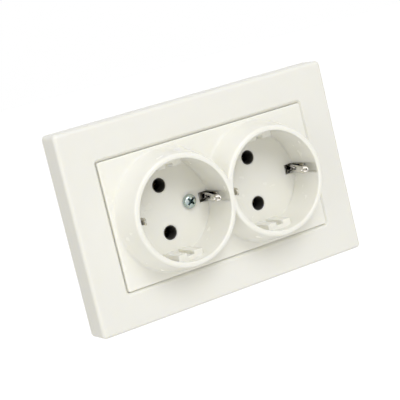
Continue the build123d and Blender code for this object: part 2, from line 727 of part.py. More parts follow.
# A claw on each side, the nut that drives it outwards and the screw that draws the nut
for side, name in ((-1, "left"), (1, "right")):
    with BuildPart() as claw:
        cam = [cam_point(step / cam_steps) for step in range(cam_steps + 1)]
        for half in (-1, 1):
            start = claw_half_height - claw_cheek
            with BuildSketch(Plane.XY.offset(half * start)):
                with BuildLine():
                    Spline(*[(side * x, y) for x, y in cam])
                    Polyline(
                        (side * cam[-1][0], cam[-1][1]),
                        (side * cam[-1][0], claw_pivot_y),
                        (side * (claw_web_inner + claw_web_thickness), claw_pivot_y),
                        (side * (claw_web_inner + claw_web_thickness), claw_end),
                        (side * cam[0][0], claw_end),
                        (side * cam[0][0], cam[0][1]),
                    )
                make_face()
                with Locations((side * claw_pivot_x, claw_pivot_y)):
                    Circle(claw_eye_radius)
            extrude(amount=half * claw_cheek)
            with BuildSketch(Plane.XY.offset(half * start)):
                with Locations((side * claw_pivot_x, claw_pivot_y)):
                    Circle(claw_trunnion_radius)
            extrude(amount=half * (lug_plate_inner + lug_plate_thickness - start))
        with BuildSketch(Plane.XY.offset(-claw_half_height)):
            web_middle = side * (claw_web_inner + claw_web_thickness / 2)
            with Locations((web_middle, (claw_web_start + claw_end) / 2)):
                Rectangle(claw_web_thickness, claw_end - claw_web_start)
        extrude(amount=2 * claw_half_height)
        with BuildSketch(Plane.XY.offset(-claw_half_height)):
            outer = claw_web_inner + claw_web_thickness
            for tooth in range(claw_tooth_count):
                tooth_y = claw_end - claw_tooth_pitch * (tooth + 0.5)
                with BuildLine():
                    Polyline(
                        (side * (outer - claw_tooth_root), tooth_y - claw_tooth),
                        (side * (outer + claw_tooth), tooth_y - claw_tooth),
                        (side * (outer - claw_tooth_root), tooth_y + claw_tooth),
                        close=True,
                    )
                make_face()
        extrude(amount=2 * claw_half_height)
    finish(claw, f"claw_{name}")
    with BuildPart() as nut:
        with BuildSketch(Plane.XZ.offset(-claw_nut_rest)):
            with Locations((side * (claw_nut_inner + claw_nut_outer) / 2, 0)):
                Rectangle(claw_nut_outer - claw_nut_inner, 2 * claw_nut_half_height)
            with Locations((side * claw_screw_x, 0)):
                Circle(claw_screw_radius + running_gap, mode=Mode.SUBTRACT)
        extrude(amount=-claw_nut_length)
    finish(nut, f"claw_nut_{name}")
    with BuildPart() as screw:
        with BuildSketch(level(plate_thickness)):
            with Locations((side * claw_screw_x, 0)):
                Circle(claw_screw_head_radius)
        extrude(amount=claw_screw_head_height)
        with BuildSketch(level(plate_thickness)):
            with Locations((side * claw_screw_x, 0)):
                Circle(claw_screw_radius)
        extrude(amount=-claw_screw_length)
        with BuildSketch(level(plate_thickness + claw_screw_head_height)):
            with Locations((side * claw_screw_x, 0)):
                Rectangle(2 * claw_screw_head_radius, claw_screw_slot)
        extrude(amount=-claw_screw_slot, mode=Mode.SUBTRACT)
    finish(screw, f"claw_screw_{name}")
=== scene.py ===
import logging
from dataclasses import dataclass, field
from enum import Enum
from math import cos, exp, pi, radians, sin, sqrt, tau

import bmesh
import bpy
from mathutils import Matrix, Vector


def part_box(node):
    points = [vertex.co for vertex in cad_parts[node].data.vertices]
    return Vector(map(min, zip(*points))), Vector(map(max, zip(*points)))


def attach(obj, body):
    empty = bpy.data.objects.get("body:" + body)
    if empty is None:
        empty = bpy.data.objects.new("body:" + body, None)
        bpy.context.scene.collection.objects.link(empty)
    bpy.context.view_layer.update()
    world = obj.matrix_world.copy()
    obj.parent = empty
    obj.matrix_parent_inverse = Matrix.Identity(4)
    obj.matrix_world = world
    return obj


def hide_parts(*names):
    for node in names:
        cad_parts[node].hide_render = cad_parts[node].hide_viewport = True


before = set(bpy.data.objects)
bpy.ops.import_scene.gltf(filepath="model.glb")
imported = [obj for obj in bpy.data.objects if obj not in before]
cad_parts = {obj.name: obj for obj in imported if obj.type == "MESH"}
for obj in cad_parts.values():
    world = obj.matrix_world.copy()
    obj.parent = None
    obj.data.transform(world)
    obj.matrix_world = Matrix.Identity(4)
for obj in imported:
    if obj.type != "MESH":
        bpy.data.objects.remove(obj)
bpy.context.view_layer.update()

log = logging.getLogger("socket")

MM = 0.001
TO_ROOM = Vector((0, -1, 0))

# Places along X and Z, depths along Y and radii that several pieces share
CLAW_SCREW_X = 24.5 * MM
COVER_SCREW_X = -9.605 * MM
WELL_FLOOR = 5.53 * MM
RIVET_INNER = (5.6 * MM, 2.2 * MM)
RIVET_OUTER = (31.5 * MM, 0.0)
RIVET_RADIUS = 1.0 * MM

Colour = tuple[float, float, float]
Point = tuple[float, float, float]
Row = list[Vector]


class Side(Enum):
    """The two sides of the socket, seen from the room."""

    LEFT = -1
    RIGHT = 1


class Recess(Enum):
    """The drive cut into a screw's head."""

    CROSS = "cross"
    SLOT = "slot"


# Finishes


class NodeBoard:
    """A material's node tree, with short calls for the nodes that the finishes share."""

    def __init__(self, name: str) -> None:
        """Make an empty finish.

        Args:
            name: The material's name.
        """
        self.material = bpy.data.materials.new(name)
        self.material.use_nodes = True
        self.tree = self.material.node_tree
        self.shader = self.tree.nodes["Principled BSDF"]
        self.place = self.tree.nodes.new("ShaderNodeTexCoord").outputs["Object"]

    def set(self, **sockets: float | tuple) -> None:
        """Set constants on the shader's own sockets; an underscore stands for a space."""
        for name, value in sockets.items():
            self.shader.inputs[name.replace("_", " ")].default_value = value

    def link(self, source: bpy.types.NodeSocket, target: str) -> None:
        """Lead a value to one of the shader's sockets."""
        self.tree.links.new(source, self.shader.inputs[target])

    def noise(self, scale: float, detail: float = 2.0, stretch: Point = (1, 1, 1)) -> bpy.types.NodeSocket:
        """Add a noise in the piece's own space.

        Args:
            scale: Lumps in a metre.
            detail: Layers of finer noise.
            stretch: Factor on the scale along each axis.

        Returns:
            The noise value, around a half.
        """
        mapping = self.tree.nodes.new("ShaderNodeMapping")
        mapping.inputs["Scale"].default_value = stretch
        texture = self.tree.nodes.new("ShaderNodeTexNoise")
        texture.inputs["Scale"].default_value = scale
        texture.inputs["Detail"].default_value = detail
        self.tree.links.new(self.place, mapping.inputs["Vector"])
        self.tree.links.new(mapping.outputs["Vector"], texture.inputs["Vector"])
        return texture.outputs["Fac"]

    def ramp(
        self, value: bpy.types.NodeSocket, start: float, end: float, low: float = 0.0, high: float = 1.0
    ) -> bpy.types.NodeSocket:
        """Map start..end to low..high and hold the ends beyond it."""
        node = self.tree.nodes.new("ShaderNodeMapRange")
        for name, limit in zip(("From Min", "From Max", "To Min", "To Max"), (start, end, low, high)):
            node.inputs[name].default_value = limit
        self.tree.links.new(value, node.inputs["Value"])
        return node.outputs["Result"]

    def spread(self, value: bpy.types.NodeSocket, low: float, high: float) -> bpy.types.NodeSocket:
        """Map a noise's middle range to low..high."""
        return self.ramp(value, 0.3, 0.7, low, high)

    def math(
        self, operation: str, first: bpy.types.NodeSocket, second: bpy.types.NodeSocket | float = 0.0
    ) -> bpy.types.NodeSocket:
        """Reckon with one value, or with two."""
        node = self.tree.nodes.new("ShaderNodeMath")
        node.operation = operation
        self.tree.links.new(first, node.inputs[0])
        if isinstance(second, float):
            node.inputs[1].default_value = second
        else:
            self.tree.links.new(second, node.inputs[1])
        return node.outputs["Value"]

    def mix(
        self, share: bpy.types.NodeSocket, first: Colour | bpy.types.NodeSocket, second: Colour
    ) -> bpy.types.NodeSocket:
        """Mix a colour, or a socket that gives one, with a second colour by a share from 0 to 1."""
        node = self.tree.nodes.new("ShaderNodeMix")
        node.data_type = "RGBA"
        if isinstance(first, bpy.types.NodeSocket):
            self.tree.links.new(first, node.inputs["A"])
        else:
            node.inputs["A"].default_value = (*first, 1)
        node.inputs["B"].default_value = (*second, 1)
        self.tree.links.new(share, node.inputs["Factor"])
        return node.outputs["Result"]

    def bump(
        self, height: bpy.types.NodeSocket, depth: float, edge: float = 0.0, width: bpy.types.NodeSocket | None = None
    ) -> None:
        """Lead a height to the shader as bump, over softly rounded edges.

        Args:
            height: The height, from 0 to 1.
            depth: What a height of 1 stands for, in metres.
            edge: Radius of the rounding that the light sees on hard edges, in metres.
            width: Gives that radius where it varies over the piece.
        """
        node = self.tree.nodes.new("ShaderNodeBump")
        node.inputs["Distance"].default_value = depth
        node.inputs["Strength"].default_value = 1.0
        self.tree.links.new(height, node.inputs["Height"])
        if edge:
            bevel = self.tree.nodes.new("ShaderNodeBevel")
            bevel.samples = 4
            bevel.inputs["Radius"].default_value = edge
            if width:
                self.tree.links.new(width, bevel.inputs["Radius"])
            self.tree.links.new(bevel.outputs["Normal"], node.inputs["Normal"])
        self.link(node.outputs["Normal"], "Normal")

    def seam(self, half: tuple[float, float], near: float, far: float, low: float, high: float) -> bpy.types.NodeSocket:
        """Map the distance from a rectangle's outline, seen along Y, as a share of its size.

        Args:
            half: Half the rectangle's width along X and height along Z.
            near: Share up to which the value is low.
            far: Share from which it is high.
            low: The value near the outline.
            high: The value far from it.

        Returns:
            The value.
        """
        parts = self.tree.nodes.new("ShaderNodeSeparateXYZ")
        self.tree.links.new(self.place, parts.inputs["Vector"])
        across, up = (
            self.math("ABSOLUTE", self.math("DIVIDE", parts.outputs[axis], size)) for axis, size in zip("XZ", half)
        )
        off = self.math("ABSOLUTE", self.math("SUBTRACT", self.math("MAXIMUM", across, up), 1.0))
        return self.ramp(off, near, far, low, high)

    def painted_hollow_shade(self, reach: float, low: float, high: float) -> bpy.types.NodeSocket:
        """Give a share that rises in hollows, for painted shade there."""
        hollow_occlusion = self.tree.nodes.new("ShaderNodeAmbientOcclusion")
        hollow_occlusion.only_local = True
        hollow_occlusion.inputs["Distance"].default_value = reach
        return self.ramp(hollow_occlusion.outputs["AO"], high, low)

    def painted_edge_highlight(self, low: float, high: float) -> bpy.types.NodeSocket:
        """Give a share that rises on sharp outer edges, for a painted highlight there."""
        geometry = self.tree.nodes.new("ShaderNodeNewGeometry")
        return self.ramp(geometry.outputs["Pointiness"], low, high)


@dataclass(frozen=True)
class Moulding:
    """An injection-moulded plastic with a faint flow in its colour and a fine skin."""

    name: str
    colour: Colour
    flow: Colour
    roughness: tuple[float, float]
    skin_scale: float
    skin_depth: float
    edge: float = 0.05 * MM
    soft_edge: float = 0.0
    seam: tuple[float, float] = (46.5 * MM, 25.4 * MM)
    seam_near: float = 0.028
    seam_far: float = 0.045
    glow_depth: float = 0.0
    glow_spread: Colour = (1.0, 0.98, 0.85)
    flow_scale: float = 45
    gloss_scale: float = 160

    def build(self) -> bpy.types.Material:
        """Make the material."""
        board = NodeBoard(self.name)
        board.set(IOR=1.5, Specular_IOR_Level=0.5)
        if self.glow_depth:
            board.set(Subsurface_Weight=1.0, Subsurface_Radius=self.glow_spread, Subsurface_Scale=self.glow_depth)
        board.link(board.mix(board.noise(self.flow_scale, 3), self.colour, self.flow), "Base Color")
        board.link(board.spread(board.noise(self.gloss_scale, 3), *self.roughness), "Roughness")
        width = None
        if self.soft_edge:
            width = board.seam(self.seam, self.seam_near, self.seam_far, self.edge, self.soft_edge)
        board.bump(board.noise(self.skin_scale, 4), self.skin_depth, self.edge, width)
        return board.material


@dataclass(frozen=True)
class Metal:
    """A plated or bare metal, with rolling marks along one axis, a painted highlight on its sharp edges and painted
    shade in its hollows.
    """

    name: str
    colour: Colour
    stain: Colour
    roughness: tuple[float, float]
    grain: Point = (1, 1, 1)
    grain_scale: float = 2500
    grain_depth: float = 0.004 * MM
    edge: float = 0.1 * MM
    # Painted shade in hollows: its dark colour, its reach and the occlusion range over which it comes in.
    hollow_shade_colour: Colour | None = None
    hollow_shade_reach: float = 1.5 * MM
    hollow_shade_range: tuple[float, float] = (0.45, 0.85)
    # Painted highlight on sharp edges: the pointiness range where it comes in, and how much paler it makes them.
    edge_highlight_range: tuple[float, float] = (0.53, 0.62)
    edge_highlight_gain: float = 1.1
    stain_scale: float = 600
    gloss_scale: float = 900

    def build(self) -> bpy.types.Material:
        """Make the material."""
        board = NodeBoard(self.name)
        board.set(Metallic=1.0)
        # Painted highlight: sharp outer edges take a paler colour.
        edge_highlight_colour = tuple(min(1.0, self.edge_highlight_gain * part) for part in self.colour)
        surface = board.mix(board.spread(board.noise(self.stain_scale, 4), 0, 1), self.colour, self.stain)
        surface = board.mix(board.painted_edge_highlight(*self.edge_highlight_range), surface, edge_highlight_colour)
        # Painted shade: the colour darkens in hollows, by ambient occlusion.
        if self.hollow_shade_colour:
            surface = board.mix(board.painted_hollow_shade(self.hollow_shade_reach, *self.hollow_shade_range), surface, self.hollow_shade_colour)
        board.link(surface, "Base Color")
        board.link(board.spread(board.noise(self.gloss_scale, 3, self.grain), *self.roughness), "Roughness")
        board.bump(board.noise(self.grain_scale, 3, self.grain), self.grain_depth, self.edge)
        return board.material


@dataclass(frozen=True)
class Finishes:
    """Every finish of the socket."""

    frame_white: Moulding = Moulding(
        "frame_white",
        (0.85, 0.839, 0.775),
        (0.862, 0.852, 0.79),
        (0.3, 0.36),
        2600,
        0.004 * MM,
        soft_edge=0.8 * MM,
        glow_depth=0.7 * MM,
    )
    cover_white: Moulding = Moulding(
        "cover_white",
        (0.882, 0.87, 0.797),
        (0.892, 0.881, 0.812),
        (0.22, 0.28),
        1800,
        0.002 * MM,
        soft_edge=0.9 * MM,
        glow_depth=0.7 * MM,
    )
    dark_moulding: Moulding = Moulding(
        "dark_moulding", (0.05, 0.048, 0.041), (0.06, 0.058, 0.05), (0.42, 0.55), 5200, 0.012 * MM, 0.15 * MM
    )
    zinc_plate: Metal = Metal(
        "zinc_plate", (0.55, 0.57, 0.58), (0.47, 0.49, 0.52), (0.28, 0.4), (1, 1, 0.06), 3200, 0.006 * MM, 0.12 * MM
    )
    contact_brass: Metal = Metal(
        "contact_brass", (0.6, 0.46, 0.26), (0.48, 0.35, 0.19), (0.2, 0.34), (0.08, 1, 1), 2600
    )
    spring_metal: Metal = Metal(
        "spring_metal",
        (0.78, 0.755, 0.71),
        (0.7, 0.675, 0.63),
        (0.03, 0.08),
        (1, 0.05, 1),
        2200,
        0.0005 * MM,
        # Dark colour of the painted shade in the arms' hollows and creases.
        hollow_shade_colour=(0.07, 0.065, 0.045),
    )
    bright_screw: Metal = Metal(
        "bright_screw",
        (0.64, 0.7, 0.68),
        (0.43, 0.54, 0.54),
        (0.1, 0.2),
        grain_scale=3000,
        grain_depth=0.003 * MM,
        # Dark colour of the painted shade in the drive's recess.
        hollow_shade_colour=(0.06, 0.11, 0.11),
    )

    def dress(self, objects: list[bpy.types.Object], finish: Moulding | Metal) -> None:
        """Give pieces a finish.

        Args:
            objects: The pieces, CAD nodes among them.
            finish: The finish they take.
        """
        name = f"{finish.name}_finish"
        material = bpy.data.materials.get(name) or finish.build()
        material.name = name
        for piece in objects:
            if not piece.data.materials:
                piece.data.materials.append(material)
            for place in range(len(piece.data.materials)):
                piece.data.materials[place] = material


# Mesh tools


def ring(radius: float, height: float, steps: int) -> Row:
    """Give a circle's points round +Z.

    Args:
        radius: The circle's radius.
        height: Its place along Z.
        steps: Number of points.

    Returns:
        The points in order.
    """
    return [Vector((radius * cos(tau * i / steps), radius * sin(tau * i / steps), height)) for i in range(steps)]


def skin(mesh: bmesh.types.BMesh, rows: list[Row], closed: bool, capped: bool) -> None:
    """Add a skin over rows of points with equal counts.

    Args:
        mesh: The mesh that takes the faces.
        rows: The rows, in order.
        closed: Whether each row is a loop.
        capped: Whether the first and last rows get a face.
    """
    made = [[mesh.verts.new(point) for point in row] for row in rows]
    count = len(rows[0])
    for low, high in zip(made, made[1:]):
        for i in range(count if closed else count - 1):
            j = (i + 1) % count
            mesh.faces.new((low[i], low[j], high[j], high[i]))
    if capped:
        mesh.faces.new(list(reversed(made[0])))
        mesh.faces.new(made[-1])


def finished(mesh: bmesh.types.BMesh, name: str, sharp: float = 35) -> bpy.types.Object:
    """Turn a bmesh into a linked object with smooth faces and sharp edges.

    Args:
        mesh: The mesh, which is freed.
        name: The object's name.
        sharp: Edges above this many degrees stay sharp.

    Returns:
        The object.
    """
    bmesh.ops.recalc_face_normals(mesh, faces=mesh.faces)
    data = bpy.data.meshes.new(name)
    mesh.to_mesh(data)
    mesh.free()
    data.shade_smooth()
    data.set_sharp_from_angle(angle=radians(sharp))
    made = bpy.data.objects.new(name, data)
    bpy.context.scene.collection.objects.link(made)
    return made


def applied(target: bpy.types.Object) -> bpy.types.Mesh:
    """Give an object's mesh with its modifiers applied."""
    graph = bpy.context.evaluated_depsgraph_get()
    return bpy.data.meshes.new_from_object(target.evaluated_get(graph))


def facing(origin: Vector, direction: Vector) -> Matrix:
    """Give the placing that takes +Z to a direction and the origin to a point."""
    return Matrix.Translation(origin) @ direction.to_track_quat("Z", "Y").to_matrix().to_4x4()


# Screws and rivets


@dataclass
class Screw:
    """A machine screw with a rolled thread and a driven head; its origin is under the head."""

    shank_radius: float
    length: float
    head_radius: float
    head_height: float
    recess: Recess
    recess_width: float
    recess_depth: float
    pitch: float
    domed: bool
    turned: float = 0.0
    steps: int = 40
    rises: int = 8
    thread_share: float = 0.54
    cross_low_share: float = 0.3
    cross_top_share: float = 0.72

    def head_profile(self) -> list[tuple[float, float]]:
        """Give the head's outline as (radius, height) from its underside to its top."""
        r, h = self.head_radius, self.head_height
        if not self.domed:
            rim = 0.12 * h
            return [(r - rim / 2, 0), (r, rim / 2), (r, h - rim), (r - 0.3 * rim, h - 0.3 * rim), (r - rim, h)]
        shoulder = 0.32 * h
        outline = [(0.95 * r, 0), (r, 0.06 * h), (r, shoulder)]
        for i in range(1, 9):
            angle = pi / 2 * i / 9
            outline.append((r * (0.42 + 0.58 * cos(angle)), shoulder + (h - shoulder) * sin(angle)))
        outline.append((0.36 * r, h))
        return outline

    def bar(self, reach: float, height: float, turn: float = 0.0) -> Row:
        """Give the four corners of the drive's bar at one height.

        Args:
            reach: Half the bar's length.
            height: Its place along Z.
            turn: Its turn round Z.

        Returns:
            The corners in order.
        """
        half = self.recess_width / 2
        corners = ((-reach, -half), (reach, -half), (reach, half), (-reach, half))
        return [Matrix.Rotation(turn, 3, "Z") @ Vector((x, y, height)) for x, y in corners]

    def cutter(self) -> bpy.types.Object:
        """Make the body that cuts the drive."""
        mesh = bmesh.new()
        top = self.head_height + 0.2 * MM
        low = self.head_height - self.recess_depth
        if self.recess is Recess.SLOT:
            skin(mesh, [self.bar(1.2 * self.head_radius, z) for z in (low, top)], True, True)
        else:
            ends = ((self.cross_low_share, low), (self.cross_top_share, top))
            for turn in (0, pi / 2):
                skin(mesh, [self.bar(share * self.head_radius, z, turn) for share, z in ends], True, True)
            half = self.recess_width / 2
            centre = ((0.75 * half, low - 0.3 * MM), (2.1 * half, low + 0.5 * MM), (2.1 * half, top))
            skin(mesh, [ring(radius, z, 16) for radius, z in centre], True, True)
        return finished(mesh, "drive_cutter")

    def head(self) -> bpy.types.Mesh:
        """Make the head with its drive cut in."""
        mesh = bmesh.new()
        skin(mesh, [ring(r, z, 64) for r, z in self.head_profile()], True, True)
        blank = finished(mesh, "head_blank")
        cutter = self.cutter()
        cut = blank.modifiers.new("drive", "BOOLEAN")
        cut.operation = "DIFFERENCE"
        cut.solver = "EXACT"
        cut.use_self = True
        cut.object = cutter
        made = applied(blank)
        for spare in (blank, cutter):
            bpy.data.objects.remove(spare)
        return made

    def shank(self, mesh: bmesh.types.BMesh) -> None:
        """Add the threaded shank below the head, with its run-out and pointed end."""
        steps, rises = self.steps, self.rises
        count = int(self.length / self.pitch * rises)
        depth = self.thread_share * self.pitch
        fade_turns, flank, crest = 1.5, 1.15, 0.08
        point = 0.12 * self.shank_radius
        rows = []
        for k in range(count + 1):
            z = -self.length * k / count
            fade = min(1.0, k / rises / fade_turns) * min(1.0, (count - k) / rises)
            taper = point * max(0.0, 1 - (count - k) / rises)
            row = []
            for i in range(steps):
                share = (-z / self.pitch + i / steps) % 1
                tooth = abs(2 * share - 1)
                groove = depth * fade * min(1.0, max(0.0, flank * tooth - crest))
                radius = self.shank_radius - groove - taper
                row.append(Vector((radius * cos(tau * i / steps), radius * sin(tau * i / steps), z)))
            rows.append(row)
        skin(mesh, rows, True, True)

    def add(self, mesh: bmesh.types.BMesh, placing: Matrix) -> None:
        """Add the screw to a mesh.

        Args:
            mesh: The mesh that takes it.
            placing: Takes the screw's own space, head up along +Z, to the socket's.
        """
        own = bmesh.new()
        own.from_mesh(self.head())
        self.shank(own)
        bmesh.ops.transform(own, matrix=placing @ Matrix.Rotation(self.turned, 4, "Z"), verts=own.verts)
        spare = bpy.data.meshes.new("screw_part")
        own.to_mesh(spare)
        own.free()
        mesh.from_mesh(spare)
        bpy.data.meshes.remove(spare)

    def piece(self, name: str, seat: Vector, direction: Vector) -> bpy.types.Object:
        """Make the screw as a piece of its own.

        Args:
            name: The piece's name.
            seat: Where the underside of its head lies.
            direction: Where its head points.

        Returns:
            The piece.
        """
        mesh = bmesh.new()
        self.add(mesh, facing(seat, direction))
        return finished(mesh, name)


@dataclass
class CoverFixing:
    """The pan-head screw in the left well that holds the cover."""

    screw: Screw = field(
        default_factory=lambda: Screw(
            shank_radius=1.5 * MM,
            length=12.0 * MM,
            head_radius=2.8 * MM,
            head_height=1.9 * MM,
            recess=Recess.CROSS,
            recess_width=0.85 * MM,
            recess_depth=1.6 * MM,
            pitch=0.5 * MM,
            domed=True,
            turned=radians(38),
        )
    )

    def build(self, finishes: Finishes) -> list[bpy.types.Object]:
        """Make the screw and place it in the well's floor."""
        piece = self.screw.piece("cover_screw_detailed", Vector((COVER_SCREW_X, -WELL_FLOOR, 0)), TO_ROOM)
        finishes.dress([piece], finishes.bright_screw)
        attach(piece, "cover_screw")
        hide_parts("cover_screw")
        return [piece]


@dataclass
class Terminals:
    """The six terminals: slotted screws over their lifting clamps."""

    pitch: float = 10.5 * MM
    y: float = 16.6 * MM
    tip: float = 17.35 * MM
    head_height: float = 1.6 * MM

    def places(self) -> dict[str, tuple[float, int]]:
        """Give each terminal's place along X and its half."""
        rows = {"live": 1, "neutral": -1}
        found = {
            f"{row}_{side.name.lower()}": (side.value * self.pitch, half)
            for row, half in rows.items()
            for side in Side
        }
        found["earth_top"] = (0.0, 1)
        found["earth_bottom"] = (0.0, -1)
        return found

    def build(self, finishes: Finishes) -> list[bpy.types.Object]:
        """Make the screws and dress the clamps."""
        made = []
        for name, (x, half) in self.places().items():
            seat = abs(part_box(f"{name}_screw")[1 if half > 0 else 0].z) - self.head_height
            screw = Screw(
                shank_radius=1.75 * MM,
                length=seat - self.tip,
                head_radius=3.0 * MM,
                head_height=self.head_height,
                recess=Recess.SLOT,
                recess_width=0.9 * MM,
                recess_depth=0.9 * MM,
                pitch=0.6 * MM,
                domed=False,
                turned=radians(25 + 47 * len(made)),
            )
            place = Vector((x, self.y, half * seat))
            piece = screw.piece(f"{name}_screw_detailed", place, Vector((0, 0, half)))
            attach(piece, f"{name}_screw")
            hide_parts(f"{name}_screw")
            made.append(piece)
            finishes.dress([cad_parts[f"{name}_clamp"]], finishes.zinc_plate)
        finishes.dress(made, finishes.bright_screw)
        return made


@dataclass
class Claws:
    """The claw screws with their nuts and claws."""

    seat: float = 1.0 * MM

    def build(self, finishes: Finishes) -> list[bpy.types.Object]:
        """Make the claw screws and dress the nuts and claws."""
        made = []
        for side in Side:
            name = side.name.lower()
            screw = Screw(
                shank_radius=1.75 * MM,
                length=21.0 * MM,
                head_radius=3.2 * MM,
                head_height=2.2 * MM,
                recess=Recess.SLOT,
                recess_width=1.0 * MM,
                recess_depth=1.0 * MM,
                pitch=0.7 * MM,
                domed=False,
                turned=radians(62 + 50 * side.value),
            )
            place = Vector((side.value * CLAW_SCREW_X, -self.seat, 0))
            piece = screw.piece(f"claw_screw_{name}_detailed", place, TO_ROOM)
            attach(piece, f"claw_screw_{name}")
            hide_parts(f"claw_screw_{name}")
            made.append(piece)
            finishes.dress([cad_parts[f"claw_nut_{name}"]], finishes.contact_brass)
            finishes.dress([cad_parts[f"claw_{name}"]], finishes.zinc_plate)
        finishes.dress(made, finishes.bright_screw)
        return made


@dataclass
class Fastenings:
    """The small screws of the base and the rivets of the earth brackets."""

    screw_x: float = 12.5 * MM
    screw_z: float = 23.4 * MM
    seat: float = 1.0 * MM
    rivet_head: float = 1.7 * MM
    rivet_head_height: float = 0.7 * MM
    bracket_front: float = 2.4 * MM
    inner_foot: float = 1.0 * MM

    def base_screws(self) -> bpy.types.Object:
        """Make the four screws that hold the base."""
        mesh = bmesh.new()
        for place, (x, z) in enumerate((x, z) for x in (-1, 1) for z in (-1, 1)):
            screw = Screw(
                shank_radius=1.1 * MM,
                length=6.8 * MM,
                head_radius=1.8 * MM,
                head_height=1.2 * MM,
                recess=Recess.CROSS,
                recess_width=0.45 * MM,
                recess_depth=0.8 * MM,
                pitch=0.8 * MM,
                domed=True,
                turned=radians(17 * place),
                steps=28,
            )
            seat = Vector((x * self.screw_x, -self.seat, z * self.screw_z))
            screw.add(mesh, facing(seat, TO_ROOM))
        return finished(mesh, "base_screws_detailed")

    def rivets(self) -> bpy.types.Object:
        """Make the four rivets with domed heads."""
        mesh = bmesh.new()
        for (x, z), foot in ((RIVET_INNER, self.inner_foot), (RIVET_OUTER, 0.0)):
            shank = self.bracket_front - foot
            profile = [(RIVET_RADIUS, -shank), (RIVET_RADIUS, 0), (self.rivet_head, 0)]
            for i in range(9):
                angle = pi / 2 * i / 9
                radius = self.rivet_head * cos(angle)
                profile.append((max(radius, 0.05 * MM), self.rivet_head_height * (0.15 + 0.85 * sin(angle))))
            rows = [ring(r, h, 32) for r, h in profile]
            for side in Side:
                placing = facing(Vector((side.value * x, -self.bracket_front, z)), TO_ROOM)
                skin(mesh, [[placing @ point for point in row] for row in rows], True, True)
        return finished(mesh, "earth_rivets_detailed")

    def build(self, finishes: Finishes) -> list[bpy.types.Object]:
        """Make the base screws and the rivets."""
        made = [self.base_screws(), self.rivets()]
        looks = (("base_screws", finishes.bright_screw), ("earth_rivets", finishes.zinc_plate))
        for piece, (node, finish) in zip(made, looks):
            finishes.dress([piece], finish)
            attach(piece, "socket")
            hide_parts(node)
        return made


# Earth contacts


